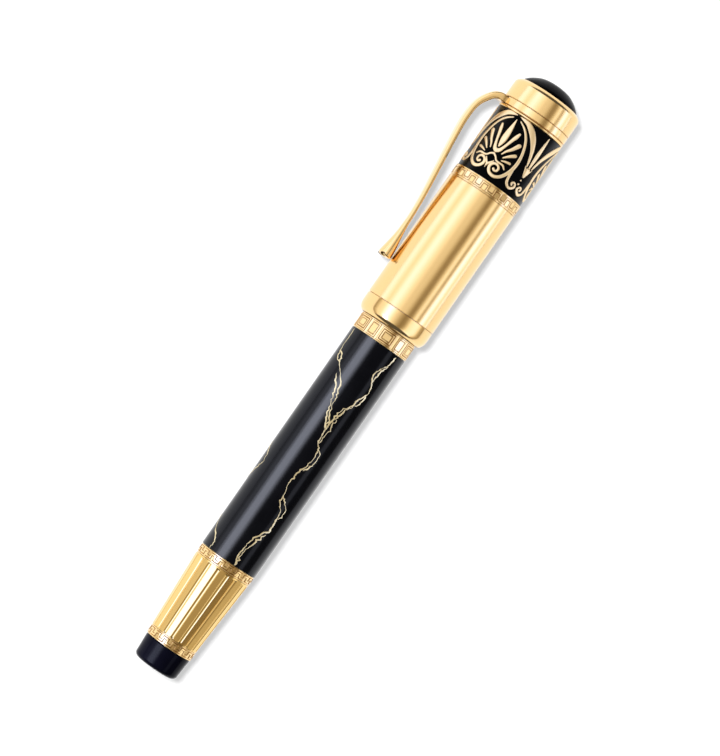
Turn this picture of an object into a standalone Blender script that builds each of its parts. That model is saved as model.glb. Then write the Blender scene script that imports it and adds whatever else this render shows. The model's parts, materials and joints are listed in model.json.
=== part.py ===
"""A capped rollerball pen, lying on its side: barrel, writing section with refill, cap and clip.

Every piece is drawn in the pen's own coordinates, in millimetres: s runs along the axis from
the flat tail end (s = 0) to the top of the crown dome (s = PEN_LENGTH), r is the distance from
the axis, and the clip lies on the pen's local +X side. The empty "pen_axis" lays the pen down:
crown towards world -X, clip towards world -Y, and the cap's widest ring touching z = 0.
"""

import math

import bmesh
import bpy
from mathutils import Matrix, Vector

MM = 0.001

# ---- overall ---------------------------------------------------------------------------------
PEN_LENGTH = 140.0
CAP_R = 7.65            # polished cap tube
KEY_R = 7.67            # meander ring of the cap, the widest round piece
BARREL_R = 6.30         # lacquered barrel
CCAP_REACH = 12.35      # clip's outer face from the pen axis
SEAM = 0.07             # shadow line between two pieces that meet end to end
EDGE = 0.12             # chamfer on the edges of the trim rings

ROUND = 32              # sides of the outer pieces
ROUND_IN = 24           # sides of the inner pieces
ROUND_SMALL = 16        # sides of the refill
FLUTES = 18             # flat panels round the tail sleeve

# ---- stations along the axis -----------------------------------------------------------------
FINIAL_TOP = 5.05
LOW_RING_TOP = 7.05
SLEEVE_TOP = 23.85
UP_RING_TOP = 25.80
SHELL_TOP = 77.95
MOUTH_TOP = 81.50
LIP_TOP = 85.45
CAP_BODY_TOP = 113.75
CAP_KEY_TOP = 116.20
ENGRAVED_TOP = 130.40
BEAD_TOP = 131.05
CCAP_RING_TOP = 132.60
CROWN_TOP = 137.30

# ---- bores and walls -------------------------------------------------------------------------
SHELL_BORE = 4.95
LINER_R, LINER_BORE = 4.75, 3.90
LINER_START, LINER_TOP = 7.15, 66.00
BUSH_R, BUSH_FLANGE_R, BUSH_BORE = 4.82, 5.50, 4.20
CAP_BORE = 7.00
CAP_LINER_R, CAP_LINER_BORE = 6.85, 5.90
CUP_R, CUP_BORE = 5.72, 5.15
SECTION_BORE = 3.30

# ---- refill, a standard rollerball size --------------------------------------------------------
REFILL_R = 3.00
REFILL_LENGTH = 110.50
REFILL_WALL = 0.30
POINT_R = 1.17
POINT_LENGTH = 14.50
BALL_R = 0.35
REFILL_TIP = 123.50
REFILL_START = REFILL_TIP - REFILL_LENGTH

# ---- clip --------------------------------------------------------------------------------------
PIVOT_X, PIVOT_S = 6.40, BEAD_TOP + 0.76
PIVOT_PIN_R, PIVOT_HOLE_R = 0.28, 0.34
PIVOT_PIN_HALF, PIVOT_HOLE_HALF = 3.40, 3.52
NOTCH_HALF = 2.62
# middle line of the arm from its root to its tip: outer (x, s), inner (x, s), half width, camber
CLIP_SECTIONS = (
    ((5.78, 132.36), (5.78, 131.15), 2.48, 0.02),
    ((7.20, 132.36), (7.20, 131.12), 2.50, 0.02),
    ((8.10, 132.60), (7.80, 131.02), 2.55, 0.04),
    ((9.15, 132.38), (8.55, 130.92), 2.55, 0.10),
    ((10.20, 131.70), (9.30, 130.42), 2.52, 0.18),
    ((11.15, 130.40), (10.00, 129.42), 2.48, 0.26),
    ((11.85, 128.95), (10.62, 128.30), 2.45, 0.32),
    ((12.22, 127.40), (11.00, 127.05), 2.42, 0.35),
    ((CCAP_REACH, 125.10), (11.12, 125.00), 2.40, 0.36),
    ((12.20, 122.30), (11.02, 122.35), 2.36, 0.36),
    ((11.60, 117.50), (10.50, 117.60), 2.20, 0.35),
    ((10.85, 112.00), (9.82, 112.15), 1.96, 0.30),
    ((10.20, 107.00), (9.22, 107.10), 1.66, 0.24),
    ((9.86, 103.00), (8.90, 103.00), 1.50, 0.20),
    ((9.84, 100.20), (8.72, 100.10), 1.52, 0.22),
    ((10.00, 97.60), (8.35, 97.30), 1.72, 0.34),
    ((10.32, 95.40), (7.98, 95.00), 2.02, 0.52),
    ((10.62, 93.60), (7.76, 93.30), 2.22, 0.70),
    ((10.60, 92.75), (7.80, 92.62), 2.24, 0.72),
)
LEAF_REACH, LEAF_BACK, LEAF_WIDTH, LEAF_THICK = 6.15, -2.6, 3.6, 0.22
STUD_R, STUD_HOLE = 1.40, 1.50
LEAF_S = CCAP_RING_TOP - 0.07
NUT_TOP = BEAD_TOP - 0.90
CUP_TOP = NUT_TOP - 1.15
NOSE_TOP = 120.80
SPRING_R, SPRING_WIRE, SPRING_TURNS, SPRING_SIDES = 2.30, 0.20, 4, 12

GOLD = ("polished gold plate", (0.93, 0.72, 0.36), 0.16, 1.0)
DARK_GOLD = ("engraved gold plate", (0.86, 0.64, 0.30), 0.28, 1.0)
LACQUER = ("black lacquer", (0.012, 0.012, 0.014), 0.10, 0.0)
RESIN = ("black resin", (0.016, 0.016, 0.020), 0.16, 0.0)
BRASS = ("bare brass", (0.72, 0.52, 0.24), 0.35, 1.0)
STEEL = ("spring steel", (0.60, 0.60, 0.62), 0.30, 1.0)
INNER_PLASTIC = ("grey moulded plastic", (0.10, 0.10, 0.11), 0.50, 0.0)
REFILL_SHELL = ("refill tube plastic", (0.03, 0.03, 0.035), 0.40, 0.0)
INK_FIBRE = ("ink soaked fibre", (0.02, 0.02, 0.05), 0.90, 0.0)
CARBIDE = ("tungsten carbide", (0.35, 0.35, 0.37), 0.20, 1.0)


def clear_scene():
    for old in list(bpy.data.objects):
        bpy.data.objects.remove(old, do_unlink=True)


def new_collection(name):
    made = bpy.data.collections.new(name)
    bpy.context.scene.collection.children.link(made)
    return made


def make_pen_axis(collection):
    """The pen's frame: local X to world -Y, local Y to world +Z, local Z to world -X."""
    empty = bpy.data.objects.new("pen_axis", None)
    collection.objects.link(empty)
    turn = Matrix(((0, 0, -1), (-1, 0, 0), (0, 1, 0))).to_4x4()
    middle = Vector((PEN_LENGTH / 2, (CCAP_REACH - KEY_R) / 2, KEY_R)) * MM
    empty.matrix_world = Matrix.Translation(middle) @ turn
    return empty


def paint(obj, look):
    name, colour, roughness, metallic = look
    mat = bpy.data.materials.new(f"{obj.name} {name}")
    mat.use_nodes = True
    shader = mat.node_tree.nodes["Principled BSDF"]
    shader.inputs["Base Color"].default_value = (*colour, 1.0)
    shader.inputs["Roughness"].default_value = roughness
    shader.inputs["Metallic"].default_value = metallic
    mat.diffuse_color = (*colour, 1.0)
    obj.data.materials.append(mat)


def place(name, data, look, at=(0.0, 0.0, 0.0), smooth=True):
    """Link an object whose own coordinates start at the point `at` of the pen, in mm."""
    obj = bpy.data.objects.new(name, data)
    PARTS.objects.link(obj)
    obj.parent = AXIS
    obj.location = Vector(at) * MM
    if look is not None:
        paint(obj, look)
    if smooth and isinstance(data, bpy.types.Mesh):
        data.shade_smooth()
        data.set_sharp_from_angle(angle=math.radians(35))
    return obj


def turned(name, profile, look, sides=ROUND, closed=True):
    """Turn a profile of (r, s) points in mm round the axis, with its outer side going down.

    A closed profile makes a ring or tube. An open one starts and ends on the axis. The object's
    origin is on the axis, level with the profile's lowest point.
    """
    base = min(s for _, s in profile)
    mesh = bpy.data.meshes.new(name)
    points = [(r * MM, 0.0, (s - base) * MM) for r, s in profile]
    edges = [(i, i + 1) for i in range(len(points) - 1)]
    if closed:
        edges.append((len(points) - 1, 0))
    mesh.from_pydata(points, edges, [])
    obj = place(name, mesh, look, at=(0.0, 0.0, base), smooth=False)
    screw = obj.modifiers.new("turn", "SCREW")
    screw.axis = "Z"
    screw.angle = math.tau
    screw.steps = sides
    screw.render_steps = sides
    screw.use_merge_vertices = True
    screw.merge_threshold = 0.0000005
    screw.use_smooth_shade = True
    return obj


def tube(name, r_out, r_in, s_low, s_high, look, sides=ROUND, edge=0.0):
    """A straight ring or tube, with its two outer edges chamfered by `edge`."""
    if edge:
        profile = [(r_out - edge, s_high), (r_out, s_high - edge), (r_out, s_low + edge),
                   (r_out - edge, s_low), (r_in, s_low), (r_in, s_high)]
    else:
        profile = [(r_out, s_high), (r_out, s_low), (r_in, s_low), (r_in, s_high)]
    return turned(name, profile, look, sides)


def quarter(r_edge, s_edge, size, start_deg, end_deg, count):
    """Points of a round edge: an arc of radius `size` about (r_edge, s_edge)."""
    points = []
    for i in range(count):
        a = math.radians(start_deg + (end_deg - start_deg) * i / (count - 1))
        points.append((r_edge + size * math.cos(a), s_edge + size * math.sin(a)))
    return points


def box_cutter(name, low, high):
    """A box between two corners given in mm in the pen's coordinates."""
    bm = bmesh.new()
    bmesh.ops.create_cube(bm, size=1.0)
    low, high = Vector(low) * MM, Vector(high) * MM
    for v in bm.verts:
        v.co = Vector([(low[i] + high[i]) / 2 + v.co[i] * (high[i] - low[i]) for i in range(3)])
    mesh = bpy.data.meshes.new(name)
    bm.to_mesh(mesh)
    bm.free()
    return add_cutter(name, mesh)


def pin_mesh(name, radius, half_length, sides):
    """A cylinder about the local Y axis, centred on its own origin."""
    bm = bmesh.new()
    bmesh.ops.create_cone(bm, cap_ends=True, segments=sides, radius1=radius * MM,
                          radius2=radius * MM, depth=2 * half_length * MM)
    bmesh.ops.rotate(bm, verts=bm.verts, cent=(0, 0, 0),
                     matrix=Matrix.Rotation(math.radians(90), 3, "X"))
    mesh = bpy.data.meshes.new(name)
    bm.to_mesh(mesh)
    bm.free()
    return mesh


def add_cutter(name, mesh, at=(0.0, 0.0, 0.0)):
    obj = bpy.data.objects.new(name, mesh)
    CUTTERS.objects.link(obj)
    obj.parent = AXIS
    obj.location = Vector(at) * MM
    obj.hide_render = True
    obj.display_type = "WIRE"
    return obj


def cut(obj, cutter):
    mod = obj.modifiers.new(cutter.name, "BOOLEAN")
    mod.operation = "DIFFERENCE"
    mod.solver = "EXACT"
    mod.object = cutter


# ---- tail ----------------------------------------------------------------------------------------

def build_tail():
    # a short black finial with a flat end, screwed onto the stud of the plug that closes the barrel
    turned("tail_finial", [
        (0.0, 2.6), (3.0, 2.6), (3.0, FINIAL_TOP - SEAM), (4.95, FINIAL_TOP - SEAM),
        (5.05, FINIAL_TOP - 0.25), (4.95, 3.2), (4.86, 1.9),
        *quarter(3.80, 1.02, 1.02, 0, -90, 4), (0.0, 0.0)], LACQUER, closed=False)
    turned("tail_plug", [
        (0.0, 9.4), (3.72, 9.4), (3.72, LINER_START - 0.1), (4.55, LINER_START - 0.1),
        (4.55, FINIAL_TOP), (2.85, FINIAL_TOP), (2.85, 2.8), (0.0, 2.8)],
        BRASS, ROUND_IN, closed=False)
    tube("tail_lower_key_ring", 5.22, 4.72, FINIAL_TOP, LOW_RING_TOP - SEAM, GOLD, edge=EDGE)
    # the fluted sleeve widens towards the barrel; each of its sides is one flat panel
    turned("tail_fluted_sleeve", [
        (6.14, SLEEVE_TOP - SEAM), (6.16, SLEEVE_TOP - 0.4), (5.30, LOW_RING_TOP + 0.3),
        (5.22, LOW_RING_TOP), (4.90, LOW_RING_TOP), (4.90, SLEEVE_TOP - SEAM)], GOLD, FLUTES)
    tube("tail_upper_key_ring", 6.20, 4.90, SLEEVE_TOP, UP_RING_TOP - SEAM, GOLD, edge=EDGE)


# ---- barrel --------------------------------------------------------------------------------------

def build_barrel():
    tube("barrel_shell", BARREL_R, SHELL_BORE, UP_RING_TOP, SHELL_TOP - SEAM, LACQUER)
    tube("barrel_liner", LINER_R, LINER_BORE, LINER_START, LINER_TOP, BRASS, ROUND_IN)
    tube("barrel_mouth_ring", BARREL_R, 5.62, SHELL_TOP, MOUTH_TOP - SEAM, GOLD, edge=EDGE)
    # the bush that the section screws into: a thread tube with a flange behind the mouth ring
    turned("barrel_thread_bush", [
        (BUSH_FLANGE_R, MOUTH_TOP - SEAM), (BUSH_FLANGE_R, SHELL_TOP), (BUSH_R, SHELL_TOP),
        (BUSH_R, LINER_TOP + 0.1), (BUSH_BORE, LINER_TOP + 0.1), (BUSH_BORE, MOUTH_TOP - SEAM)],
        BRASS, ROUND_IN)


def build_refill_spring():
    """A short compression spring between the tail plug and the back of the refill."""
    low, high = 9.4 + SPRING_WIRE + 0.05, REFILL_START - SPRING_WIRE - 0.05
    curve = bpy.data.curves.new("refill_spring", "CURVE")
    curve.dimensions = "3D"
    curve.bevel_depth = SPRING_WIRE * MM
    curve.bevel_resolution = 2
    curve.use_fill_caps = True
    curve.resolution_u = 1
    curve.render_resolution_u = 0
    line = curve.splines.new("POLY")
    count = SPRING_TURNS * SPRING_SIDES + 1
    line.points.add(count - 1)
    for i in range(count):
        a = math.tau * i / SPRING_SIDES
        s = low + (high - low) * i / (count - 1)
        line.points[i].co = (SPRING_R * math.cos(a) * MM, SPRING_R * math.sin(a) * MM,
                             (s - 9.4) * MM, 1.0)
    place("refill_spring", curve, STEEL, at=(0.0, 0.0, 9.4))


# ---- writing section -----------------------------------------------------------------------------

def build_section():
    # brass collar: its long thread sits in the barrel bush, its short coarse one takes the cap
    turned("section_thread_collar", [
        (4.05, 86.9), (4.05, 86.6), (4.92, 86.6), (4.92, 83.1), (4.05, 83.1), (4.05, 67.8),
        (SECTION_BORE, 67.8), (SECTION_BORE, 86.9)], BRASS, ROUND_IN)
    tube("section_trim_ring", 5.15, 4.20, MOUTH_TOP + 0.06, 83.02, GOLD, ROUND_IN, edge=EDGE)
    # grip: slightly waisted, flared again at its front so that the fingers stop
    turned("grip_section", [
        (4.70, 112.9), (4.90, 112.4), (4.90, 111.2), (4.58, 106.5), (4.50, 101.0),
        (4.62, 94.5), (4.85, 88.6), (4.85, 86.98), (SECTION_BORE, 86.98),
        (SECTION_BORE, 112.9)], RESIN)
    tube("grip_end_ring", 4.80, SECTION_BORE, 112.98, 114.10, GOLD, ROUND_IN, edge=EDGE)
    turned("nose_cone", [
        (1.85, NOSE_TOP), (2.05, NOSE_TOP - 0.3), (3.15, 117.9), (4.10, 115.5), (4.45, 114.17),
        (SECTION_BORE, 114.17), (SECTION_BORE, 115.6), (1.42, 117.4), (1.42, NOSE_TOP)],
        GOLD, ROUND_IN)


def build_refill():
    bore = REFILL_R - REFILL_WALL
    front = 108.6
    turned("refill_tube", [
        (REFILL_R, front), (REFILL_R, REFILL_START), (bore, REFILL_START), (bore, front)],
        REFILL_SHELL, ROUND_SMALL)
    tube("refill_end_plug", bore - 0.08, 0.5, REFILL_START, REFILL_START + 3.0, INNER_PLASTIC,
         ROUND_SMALL)
    turned("refill_ink_core", [
        (0.0, front - 3.3), (bore - 0.15, front - 3.3), (bore - 0.15, REFILL_START + 3.2),
        (0.0, REFILL_START + 3.2)], INK_FIBRE, ROUND_SMALL, closed=False)
    # the feed holder plugs the tube and steps down to the steel point
    turned("refill_feed_holder", [
        (1.30, 114.6), (2.35, 112.6), (2.92, 112.2), (2.92, front + 0.08), (bore - 0.08, front + 0.08),
        (bore - 0.08, front - 3.0), (0.62, front - 3.0), (0.62, 109.1), (POINT_R + 0.06, 109.1),
        (POINT_R + 0.06, 114.6)], INNER_PLASTIC, ROUND_SMALL)
    start = REFILL_TIP - POINT_LENGTH + 0.2
    socket = BALL_R + 0.05
    tip = REFILL_TIP - 0.30
    turned("refill_point", [
        (socket + 0.04, tip), (0.92, tip - 1.1), (POINT_R, tip - 1.7), (POINT_R, start),
        (0.30, start), (0.30, tip - 0.75), (socket, tip - 0.45)], STEEL, ROUND_SMALL)
    bm = bmesh.new()
    bmesh.ops.create_uvsphere(bm, u_segments=10, v_segments=6, radius=BALL_R * MM)
    mesh = bpy.data.meshes.new("writing_ball")
    bm.to_mesh(mesh)
    bm.free()
    place("writing_ball", mesh, CARBIDE, at=(0.0, 0.0, REFILL_TIP - BALL_R))


# ---- cap -----------------------------------------------------------------------------------------

def build_cap():
    turned("cap_lip", [
        (CAP_R, LIP_TOP - SEAM), (CAP_R, 84.2), (7.63, 83.4), (7.56, 82.85), (7.40, 82.38),
        (7.15, 81.96), (6.82, MOUTH_TOP + 0.14), (6.62, MOUTH_TOP + 0.06),
        (6.60, LIP_TOP - SEAM)], GOLD)
    tube("cap_body", CAP_R, CAP_BORE, LIP_TOP, CAP_BODY_TOP - SEAM, GOLD)
    tube("cap_key_ring", KEY_R, CAP_BORE, CAP_BODY_TOP, CAP_KEY_TOP - SEAM, GOLD, edge=EDGE)
    tube("engraved_sleeve", 7.57, CAP_BORE, CAP_KEY_TOP, ENGRAVED_TOP - SEAM, LACQUER)
    tube("cap_bead_ring", 7.60, CAP_BORE, ENGRAVED_TOP, BEAD_TOP - SEAM, GOLD, edge=0.2)
    tube("cap_liner", CAP_LINER_R, CAP_LINER_BORE, 86.95, BEAD_TOP - SEAM, BRASS, ROUND_IN)
    # the threaded ring just inside the lip holds the cap on the section
    tube("cap_clutch_ring", 6.48, 5.35, 81.9, 86.8, INNER_PLASTIC, ROUND_IN)
    # soft inner cup that closes round the front of the grip and keeps the point from drying
    turned("inner_seal_cup", [
        (0.0, CUP_TOP), (CUP_R, CUP_TOP), (CUP_R, 109.0), (CUP_BORE, 109.0),
        (CUP_BORE, CUP_TOP - 0.7), (0.0, CUP_TOP - 0.7)], INNER_PLASTIC, ROUND_IN, closed=False)


def build_cap_end():
    ring = turned("clip_ring", [
        (7.50, CCAP_RING_TOP), (7.60, CCAP_RING_TOP - 0.1), (7.60, BEAD_TOP + 0.1),
        (7.50, BEAD_TOP), (5.62, BEAD_TOP), (5.62, CCAP_RING_TOP)], GOLD)
    cut(ring, box_cutter("clip notch", (5.2, -NOTCH_HALF, BEAD_TOP - 0.5),
                         (8.2, NOTCH_HALF, CCAP_RING_TOP + 0.5)))
    cut(ring, add_cutter("pin hole", pin_mesh("pin hole", PIVOT_HOLE_R, PIVOT_HOLE_HALF, 12),
                         at=(PIVOT_X, 0.0, PIVOT_S)))
    place("clip_pivot_pin", pin_mesh("clip_pivot_pin", PIVOT_PIN_R, PIVOT_PIN_HALF, 12), STEEL,
          at=(PIVOT_X, 0.0, PIVOT_S))
    # end plug, nut and stud clamp the crown, the clip ring and the cap tube together
    tube("cap_end_plug", 5.40, STUD_HOLE, NUT_TOP + 0.1, LEAF_S - 0.08, BRASS, ROUND_IN)
    nut_low = NUT_TOP - 1.0
    nut = turned("crown_nut", [
        (0.0, NUT_TOP), (2.90, NUT_TOP), (2.90, nut_low), (0.0, nut_low)], STEEL, 6, closed=False)
    cut(nut, turned_cutter("nut bore", STUD_HOLE, nut_low - 0.5, NUT_TOP + 0.5))
    turned("crown_stud", [
        (0.0, 138.3), (STUD_R, 138.3), (STUD_R, nut_low + 0.05), (0.0, nut_low + 0.05)],
        STEEL, ROUND_SMALL, closed=False)
    turned("crown", [
        (6.46, CROWN_TOP), (6.62, CROWN_TOP - 0.05), *quarter(6.30, 135.90, 1.30, 62, 12, 4),
        (7.60, 134.9), (7.60, CCAP_RING_TOP + SEAM), (6.35, CCAP_RING_TOP + SEAM),
        (6.35, 136.0), (STUD_HOLE, 136.0), (STUD_HOLE, CROWN_TOP)], GOLD)
    turned("crown_dome", [
        (0.0, PEN_LENGTH), (1.7, 139.92), (3.4, 139.55), (4.9, 138.75), (5.9, 137.95),
        (6.36, CROWN_TOP + SEAM), (STUD_HOLE, CROWN_TOP + SEAM), (STUD_HOLE, 138.45),
        (0.0, 138.45)], LACQUER, closed=False)


def build_leaf_spring():
    """A flat strip under the crown: held at the stud, its free end presses on the clip's root."""
    bm = bmesh.new()
    bmesh.ops.create_cube(bm, size=1.0)
    for v in bm.verts:
        v.co = Vector(((v.co.x + 0.5) * (LEAF_REACH - LEAF_BACK) + LEAF_BACK,
                       v.co.y * LEAF_WIDTH, (v.co.z + 0.5) * LEAF_THICK)) * MM
    mesh = bpy.data.meshes.new("clip_leaf_spring")
    bm.to_mesh(mesh)
    bm.free()
    leaf = place("clip_leaf_spring", mesh, STEEL, at=(0.0, 0.0, LEAF_S))
    hole = turned_cutter("leaf hole", STUD_HOLE, LEAF_S - 0.4, LEAF_S + 1.0)
    cut(leaf, hole)


def turned_cutter(name, radius, s_low, s_high):
    bm = bmesh.new()
    bmesh.ops.create_cone(bm, cap_ends=True, segments=ROUND_SMALL, radius1=radius * MM,
                          radius2=radius * MM, depth=(s_high - s_low) * MM)
    mesh = bpy.data.meshes.new(name)
    bm.to_mesh(mesh)
    bm.free()
    return add_cutter(name, mesh, at=(0.0, 0.0, (s_low + s_high) / 2))


# ---- clip ----------------------------------------------------------------------------------------

def clip_section(outer, inner, half, camber):
    """Eight points round one cross-section: a cambered outer face and a flat inner face.

    `outer` and `inner` are the (x, s) points of the section's middle line, on the face away
    from the cap and on the face towards it.
    """
    outer, inner = Vector(outer), Vector(inner)
    out_dir = (outer - inner).normalized()
    points = []
    for t in (-1.0, -0.55, 0.0, 0.55, 1.0):
        p = outer - out_dir * camber * t * t
        points.append((p.x, half * t, p.y))
    for t in (0.92, 0.0, -0.92):
        points.append((inner.x, half * t, inner.y))
    return points


def build_clip():
    """The clip arm is one loft from the root in the clip ring to the flared tip."""
    base = Vector((PIVOT_X, 0.0, PIVOT_S))
    bm = bmesh.new()
    rings = []
    for outer, inner, half, camber in CLIP_SECTIONS:
        ring = [bm.verts.new((Vector(p) - base) * MM)
                for p in clip_section(outer, inner, half, camber)]
        rings.append(ring)
    for a, b in zip(rings, rings[1:]):
        for i in range(len(a)):
            j = (i + 1) % len(a)
            bm.faces.new((a[i], a[j], b[j], b[i]))
    bm.faces.new(list(reversed(rings[0])))
    bm.faces.new(rings[-1])
    bmesh.ops.recalc_face_normals(bm, faces=bm.faces)
    mesh = bpy.data.meshes.new("clip_arm")
    bm.to_mesh(mesh)
    bm.free()
    arm = place("clip_arm", mesh, GOLD, at=(PIVOT_X, 0.0, PIVOT_S))
    cut(arm, add_cutter("clip eye", pin_mesh("clip eye", PIVOT_HOLE_R, 3.0, 12),
                        at=(PIVOT_X, 0.0, PIVOT_S)))


clear_scene()
PARTS = new_collection("rollerball_pen")
CUTTERS = new_collection("cutters")
AXIS = make_pen_axis(PARTS)
build_tail()
build_barrel()
build_refill_spring()
build_section()
build_refill()
build_cap()
build_cap_end()
build_leaf_spring()
build_clip()
bpy.context.view_layer.update()
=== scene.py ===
import json
import math
import random

import bmesh
import bpy
from mathutils import Matrix, Vector

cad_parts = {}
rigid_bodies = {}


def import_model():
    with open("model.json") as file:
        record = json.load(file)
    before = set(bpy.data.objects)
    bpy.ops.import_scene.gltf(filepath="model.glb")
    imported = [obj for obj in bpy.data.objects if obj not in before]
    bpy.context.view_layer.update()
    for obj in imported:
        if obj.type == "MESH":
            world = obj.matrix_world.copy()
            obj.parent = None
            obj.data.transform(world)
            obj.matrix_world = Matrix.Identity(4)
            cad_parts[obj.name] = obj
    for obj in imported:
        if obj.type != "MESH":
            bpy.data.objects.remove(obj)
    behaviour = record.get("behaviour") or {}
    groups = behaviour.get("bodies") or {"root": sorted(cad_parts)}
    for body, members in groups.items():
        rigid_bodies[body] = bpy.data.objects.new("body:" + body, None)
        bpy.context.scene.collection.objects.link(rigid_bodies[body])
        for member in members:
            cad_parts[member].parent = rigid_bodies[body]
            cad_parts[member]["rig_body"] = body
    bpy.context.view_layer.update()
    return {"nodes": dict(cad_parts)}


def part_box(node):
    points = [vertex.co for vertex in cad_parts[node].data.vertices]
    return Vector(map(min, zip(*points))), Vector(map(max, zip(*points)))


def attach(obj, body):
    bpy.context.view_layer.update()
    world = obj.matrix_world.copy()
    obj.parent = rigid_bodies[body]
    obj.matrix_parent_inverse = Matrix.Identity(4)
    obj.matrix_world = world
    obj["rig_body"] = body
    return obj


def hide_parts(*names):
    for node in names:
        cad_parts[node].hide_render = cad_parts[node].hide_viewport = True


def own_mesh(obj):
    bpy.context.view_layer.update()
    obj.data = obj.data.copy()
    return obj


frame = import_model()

MM = 0.001

# ---- the pen's frame: s along the axis from the tail, x towards the clip, y up, in mm ----
HALF_LENGTH = 70.0
AXIS_Y = 2.34           # the axis in world Y and Z
AXIS_Z = 7.67
VIEW_DEG = 82.0         # the camera's direction round the pen, counted from the clip
PER_DEG = math.radians(1.0)


def world(x, y, s):
    return Vector(((HALF_LENGTH - s) * MM, (AXIS_Y - x) * MM, (AXIS_Z + y) * MM))


def around(r, deg, s):
    """The point at radius r, `deg` round the pen from the clip, at station s."""
    a = math.radians(deg)
    return world(r * math.cos(a), r * math.sin(a), s)


# ==== materials ======================================================================

def nodes_of(name):
    mat = bpy.data.materials.new(name)
    mat.use_nodes = True
    tree = mat.node_tree
    shader = tree.nodes["Principled BSDF"]
    return mat, tree, shader


def noise(tree, scale, detail=4.0, rough=0.55, stretch=None):
    """Noise over the object's own coordinates in metres; `stretch` scales it along x, y, z."""
    coords = tree.nodes.new("ShaderNodeTexCoord")
    tex = tree.nodes.new("ShaderNodeTexNoise")
    tex.inputs["Scale"].default_value = scale
    tex.inputs["Detail"].default_value = detail
    tex.inputs["Roughness"].default_value = rough
    if stretch:
        mapping = tree.nodes.new("ShaderNodeMapping")
        mapping.inputs["Scale"].default_value = stretch
        tree.links.new(coords.outputs["Object"], mapping.inputs["Vector"])
        tree.links.new(mapping.outputs["Vector"], tex.inputs["Vector"])
    else:
        tree.links.new(coords.outputs["Object"], tex.inputs["Vector"])
    return tex.outputs["Fac"]


def ramp(tree, source, stops):
    """A colour ramp with (position, colour or value) stops."""
    node = tree.nodes.new("ShaderNodeValToRGB")
    band = node.color_ramp
    while len(band.elements) < len(stops):
        band.elements.new(0.5)
    for element, (at, value) in zip(band.elements, stops):
        element.position = at
        rgb = (value,) * 3 if isinstance(value, (int, float)) else value
        element.color = (*rgb, 1.0)
    tree.links.new(source, node.inputs["Fac"])
    return node.outputs["Color"]


def bump(tree, shader, source, distance, strength=1.0):
    node = tree.nodes.new("ShaderNodeBump")
    node.inputs["Distance"].default_value = distance
    node.inputs["Strength"].default_value = strength
    tree.links.new(source, node.inputs["Height"])
    tree.links.new(node.outputs["Normal"], shader.inputs["Normal"])


def metal(name, colour, rough, dark=0.92, scale=260.0, stretch=None, bump_mm=0.0006):
    """Metal with slow changes of tone, a roughness that varies a little, and a fine surface."""
    mat, tree, shader = nodes_of(name)
    tone = noise(tree, scale, stretch=stretch)
    low = tuple(c * dark for c in colour)
    tree.links.new(ramp(tree, tone, [(0.30, low), (0.70, colour)]), shader.inputs["Base Color"])
    fine = noise(tree, scale * 9, 3.0, stretch=stretch)
    tree.links.new(ramp(tree, fine, [(0.25, rough * 0.82), (0.75, rough * 1.22)]),
                   shader.inputs["Roughness"])
    bump(tree, shader, fine, bump_mm * MM)
    shader.inputs["Metallic"].default_value = 1.0
    return mat


def lacquer(name, colour, rough, fleck=1.35, spec=0.5, tint=(1, 1, 1), ior=1.5, scale=180.0):
    """Glossy lacquer or resin: a nearly black ground with slow cloudy changes of depth."""
    mat, tree, shader = nodes_of(name)
    cloud = noise(tree, scale, 6.0, 0.6)
    high = tuple(min(c * fleck, 1.0) for c in colour)
    tree.links.new(ramp(tree, cloud, [(0.35, colour), (0.72, high)]), shader.inputs["Base Color"])
    fine = noise(tree, scale * 14, 3.0)
    tree.links.new(ramp(tree, fine, [(0.3, rough * 0.85), (0.7, rough * 1.2)]),
                   shader.inputs["Roughness"])
    bump(tree, shader, fine, 0.0004 * MM)
    shader.inputs["Specular IOR Level"].default_value = spec
    shader.inputs["Specular Tint"].default_value = (*tint, 1.0)
    shader.inputs["IOR"].default_value = ior
    return mat


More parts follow.
